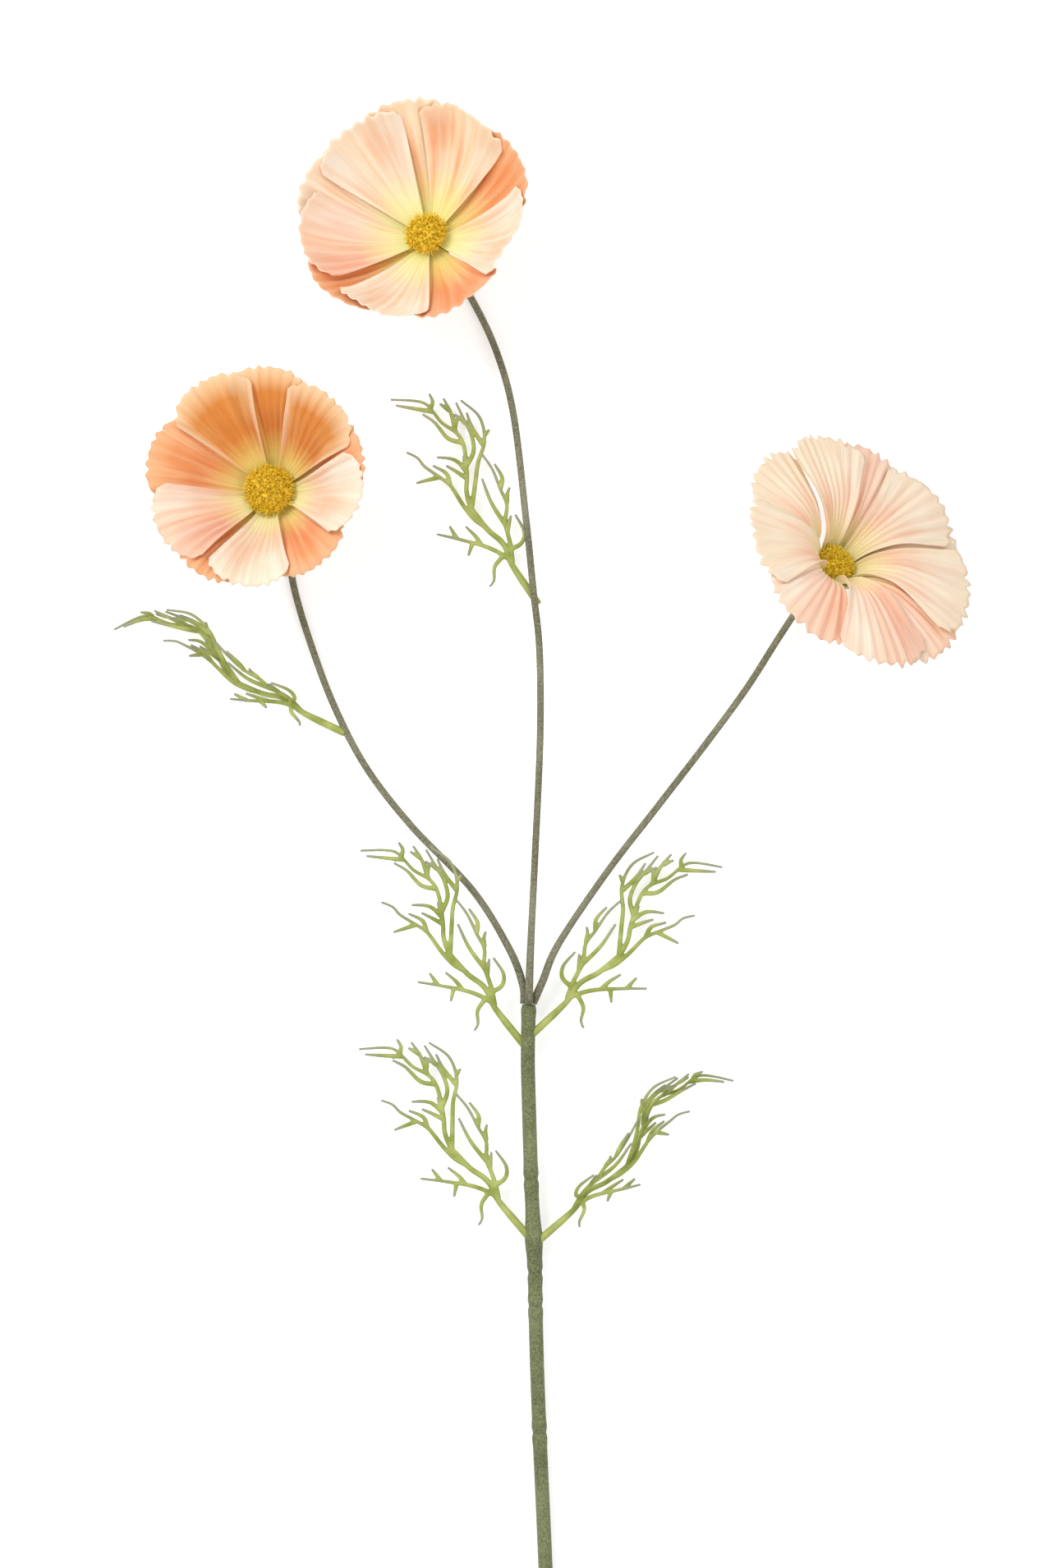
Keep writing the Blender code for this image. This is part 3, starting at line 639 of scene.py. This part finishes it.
leaf = {
    "chordTurn": 42.4, "footRadius": 1.35, "ribRadius": 1.1, "strandRadius": 0.85, "tipRadius": 0.42,
    "tipTaper": 1.4, "footLength": 16.0, "footRise": 2.5, "sides": 10, "step": 1.2, "voxel": 0.26,
    "socket": (2.4, -2.8),                     # where the rib starts, inside the stem
    "rib": [
        (0, 0), (-8, 9.5), (-10.5, 14.5), (-13, 17.5), (-17.5, 20.5), (-21.5, 24.5), (-24.5, 28), (-26.5, 33),
        (-27, 38.5), (-29, 48), (-32, 52.5), (-37.5, 55.5), (-41, 59), (-44, 61.5), (-48.5, 62), (-56, 61.5),
    ],
    "strands": [
        [(-42, 60), (-41.5, 62.5), (-43, 65)],
        [(-41, 59), (-47.5, 59.3), (-54, 59.7)],
        [(-30, 49.5), (-35, 50.5), (-40, 55.3), (-44.5, 57.7)],
        [(-32.5, 53), (-35, 59.5), (-38, 64)],
        [(-35.5, 60), (-39, 62)],
        [(-33, 53.5), (-32.5, 58), (-33.5, 59)],
        [(-27.5, 41.5), (-25.6, 47), (-27, 52.5), (-29.5, 56.5), (-33.5, 63)],
        [(-29.5, 56.3), (-32.5, 58.5)],
        [(-27, 39.5), (-30.5, 42.7), (-33.5, 43.6), (-38, 43.5)],
        [(-27, 37.5), (-31, 39.5), (-34.5, 41)],
        [(-27.5, 40.5), (-29, 45)],
        [(-24, 28), (-23.8, 37), (-23.6, 43.5), (-22.3, 51.3), (-25, 59), (-32, 64)],
        [(-22.8, 49.7), (-27, 55), (-29.5, 60)],
        [(-22.5, 52.8), (-21, 55)],
        [(-19.5, 22), (-23, 24), (-27, 28), (-31, 33), (-33, 35), (-37.5, 37.5), (-42, 40), (-44.5, 42.5),
         (-48.5, 44)],
        [(-36.5, 36.7), (-41, 35), (-44, 33.8)],
        [(-32.5, 34.7), (-34, 38.3), (-39, 40.5)],
        [(-8, 10.5), (-9.3, 16), (-11, 20.7), (-12.2, 24), (-12.2, 30), (-15, 35), (-18.5, 41.5),
         (-22.3, 46)],
        [(-12.2, 23.3), (-17.5, 30), (-21.7, 38)],
        [(-15, 35.2), (-14.8, 39), (-18, 43.5)],
        [(-12.2, 30.6), (-12.4, 34), (-11.8, 36)],
        [(-11, 20.7), (-10.4, 26.5)],
        [(-9, 15), (-5.7, 17.5), (-5.4, 21.7), (-9, 27)],
        [(-9.5, 11.5), (-13.5, 13.5), (-18.5, 15), (-27, 16.3), (-35, 17.2)],
        [(-28, 16.5), (-31, 20.5)],
        [(-19.4, 15.2), (-21.7, 18), (-25.5, 21)],
        [(-22.5, 15.5), (-23.4, 11)],
        [(-11.5, 12.3), (-14, 8.3), (-13.7, 3.6), (-15, 1.3)],
    ],
    "copies": {
        "lower_left_leaf": {
            "foot": (-5.0, -86.3, 7.0), "turn": 42.4, "mirror": False, "fold": 8, "rise": -2,
        },
        "lower_right_leaf": {
            "foot": (3.2, -88.2, 7.0), "turn": -51.0, "mirror": True, "fold": 62, "rise": -3,
        },
        "upper_left_leaf": {
            "foot": (-6.7, -20.2, 8.0), "turn": 40.0, "mirror": False, "fold": 14, "rise": 8,
        },
        "upper_right_leaf": {
            "foot": (1.2, -17.0, 8.0), "turn": -49.0, "mirror": True, "fold": 6, "rise": -3,
        },
        "left_branch_leaf": {
            "foot": (-69.2, 85.4, 5.2), "turn": 66.0, "mirror": False, "fold": 66, "rise": -1,
        },
        "top_branch_leaf": {
            "foot": (-1.4, 131.0, 6.2), "turn": 36.0, "mirror": False, "fold": 4, "rise": -2,
        },
    },
}


def turnFlat(spot, degrees):
    return Matrix.Rotation(math.radians(degrees), 2) @ Vector(spot)


uprightRib = [turnFlat(spot, -leaf["chordTurn"]) for spot in leaf["rib"]]


def ribOffset(height):
    for low, high in zip(uprightRib, uprightRib[1:]):
        if low.y <= height <= high.y:
            return low.x + (high.x - low.x) * (height - low.y) / (high.y - low.y)
    return uprightRib[-1].x if height > uprightRib[-1].y else 0.0


def leafPoint(copy, spot):                     # folded along the rib, mirrored, turned and raised
    upright = turnFlat(spot, -leaf["chordTurn"])
    rib = ribOffset(upright.y)
    aside = upright.x - rib
    fold = math.radians(copy["fold"])
    across = rib + aside * math.cos(fold)
    height = abs(aside) * math.sin(fold) + upright.y * math.tan(math.radians(copy["rise"]))
    flat = turnFlat((-across if copy["mirror"] else across, upright.y), copy["turn"])
    return Vector((flat.x, flat.y, height)) + Vector(copy["foot"])


def buildLeaf(node, copy, material):
    bm = bmesh.new()
    marks = []                                 # places along the strands, with how near the tip each is
    for number, strand in enumerate([leaf["rib"]] + leaf["strands"]):
        spots = [leaf["socket"]] + strand if number == 0 else strand
        route = smoothRoute([leafPoint(copy, spot) for spot in spots], leaf["step"])
        last = len(route) - 1
        thick = leaf["ribRadius"] if number == 0 else leaf["strandRadius"]
        radii = []
        for index, spot in enumerate(route):
            share = index / last
            radius = thick + (leaf["tipRadius"] - thick) * share ** leaf["tipTaper"]
            if number == 0:
                foot = max(0.0, 1.0 - (spot - route[0]).length / leaf["footLength"])
                radius += (leaf["footRadius"] - leaf["ribRadius"]) * min(1.0, foot * leaf["footRise"])
            radii.append(radius)
            marks.append((place(spot), share if number else share ** 3))
        addTube(bm, route, radii, leaf["sides"])
    tubes = looseObject(node + "_tubes", bm)
    fuse = tubes.modifiers.new("fuse", "REMESH")
    fuse.mode = "VOXEL"
    fuse.voxel_size = leaf["voxel"] / 1000
    mesh = bakeModifiers(tubes)
    tree = KDTree(len(marks))
    for index, (spot, share) in enumerate(marks):
        tree.insert(spot, index)
    tree.balance()
    tip = mesh.attributes.new("tip", "FLOAT", "POINT")
    tip.data.foreach_set("value", [marks[tree.find(v.co)[1]][1] for v in mesh.vertices])
    dressPiece(node + "_moulded", mesh, material, node)


view = {"centre": (-6.6, 67.5), "height": 534.5, "lens": 120.0, "sensor": 36.0, "subjectZ": 18.0}    # mm

studio = {
    "floorHalfSize": 6.0, "floorDrop": 0.0004, "paper": 0.8, "paperGlow": 0.45, "worldStrength": 0.7,
    "aim": (0, 0.1, 0),
    "lamps": {
        "key": {"spot": (-0.9, 0.9, 1.5), "size": 1.0, "power": 18.0},
        "fill": {"spot": (1.2, -0.3, 1.6), "size": 1.4, "power": 7.0},
    },
}


def addCamera():
    camera = bpy.data.cameras.new("camera")
    camera.lens = view["lens"]
    camera.sensor_width = view["sensor"]
    camera.clip_end = 20.0
    eye = bpy.data.objects.new("camera", camera)
    bpy.context.scene.collection.objects.link(eye)
    distance = view["height"] / 2 / (view["sensor"] / 2 / view["lens"]) + view["subjectZ"]
    eye.location = (view["centre"][0] / 1000, view["centre"][1] / 1000, distance / 1000)
    bpy.context.scene.camera = eye


def addFloor():
    # Matt white paper: it glows a little to the camera and in reflections, and keeps the shadow.
    bm = bmesh.new()
    bmesh.ops.create_grid(bm, x_segments=1, y_segments=1, size=studio["floorHalfSize"])
    floor = looseObject("studio_floor", bm)
    floor.location.z = -studio["floorDrop"]
    material = bpy.data.materials.new("white paper sweep")
    material.use_nodes = True
    tree = material.node_tree
    tree.nodes.clear()
    path = addNode(tree, "ShaderNodeLightPath")
    seen = maths(tree, "ADD", path.outputs["Is Camera Ray"], path.outputs["Is Glossy Ray"], True)
    seen = maths(tree, "ADD", seen, path.outputs["Is Transmission Ray"], True)
    paper = addNode(tree, "ShaderNodeBsdfDiffuse", {"in_Color": [studio["paper"]] * 3 + [1.0]})
    glow = addNode(tree, "ShaderNodeEmission", None,
                   {"Strength": maths(tree, "MULTIPLY", seen, studio["paperGlow"])})
    both = addNode(tree, "ShaderNodeAddShader", None, {"0": paper.outputs[0], "1": glow.outputs[0]})
    end = addNode(tree, "ShaderNodeOutputMaterial", None, {"Surface": both.outputs[0]})
    end.is_active_output = True
    floor.data.materials.append(material)


def addLight():
    world = bpy.data.worlds.new("studio")
    world.use_nodes = True
    background = world.node_tree.nodes["Background"]
    background.inputs["Color"].default_value = (1, 1, 1, 1)
    background.inputs["Strength"].default_value = studio["worldStrength"]
    bpy.context.scene.world = world
    for name, values in studio["lamps"].items():
        lamp = bpy.data.lights.new(name, "AREA")
        lamp.size = values["size"]
        lamp.energy = values["power"]
        obj = bpy.data.objects.new(name, lamp)
        bpy.context.scene.collection.objects.link(obj)
        spot = Vector(values["spot"])
        obj.location = spot
        obj.rotation_euler = (Vector(studio["aim"]) - spot).to_track_quat("-Z", "Y").to_euler()
    bpy.context.scene.view_settings.view_transform = "Standard"


def buildFlower(number, name, flower):
    buildBranch(name, flower, branchFlock)
    buildCalyx(name, flower, calyxPlastic)
    buildDisc(name, flower, goldThread, number + 3)
    for layer, lift, seed in (("back", 0.0, 0), ("front", petal["layerLift"], 30)):
        for index, centre in enumerate(flower[layer], 1):
            look = flower[layer + "Looks"][index - 1]
            buildPetal(f"{name}_{layer}_petal_{index}", flower, centre, flower[layer + "HalfWidth"], lift,
                       petalCloths[look], number * 100 + index + seed)
    say(name + " flower built")


addCamera()
addFloor()
addLight()
say("stage ready")
stemFlock = grainedPlastic("flocked plastic stem", "#5C6342", "#8C9169")
branchFlock = grainedPlastic("flocked plastic branch", "#66644E", "#94927A")
calyxPlastic = grainedPlastic("moulded PE calyx", "#7C8A38", "#A3AE5C")
leafPlastic = mouldedLeaf()
goldThread = floretThread("golden polyester thread", "#CDA810", "#FFE24C")
petalCloths = {name: petalFabric("pleated polyester " + name, look) for name, look in petalLooks.items()}

buildStem(stemFlock)
say("stem built")
for flowerNumber, (flowerName, flowerData) in enumerate(flowers.items()):
    buildFlower(flowerNumber, flowerName, flowerData)
for leafName, leafCopy in leaf["copies"].items():
    buildLeaf(leafName, leafCopy, leafPlastic)
say("leaves built")
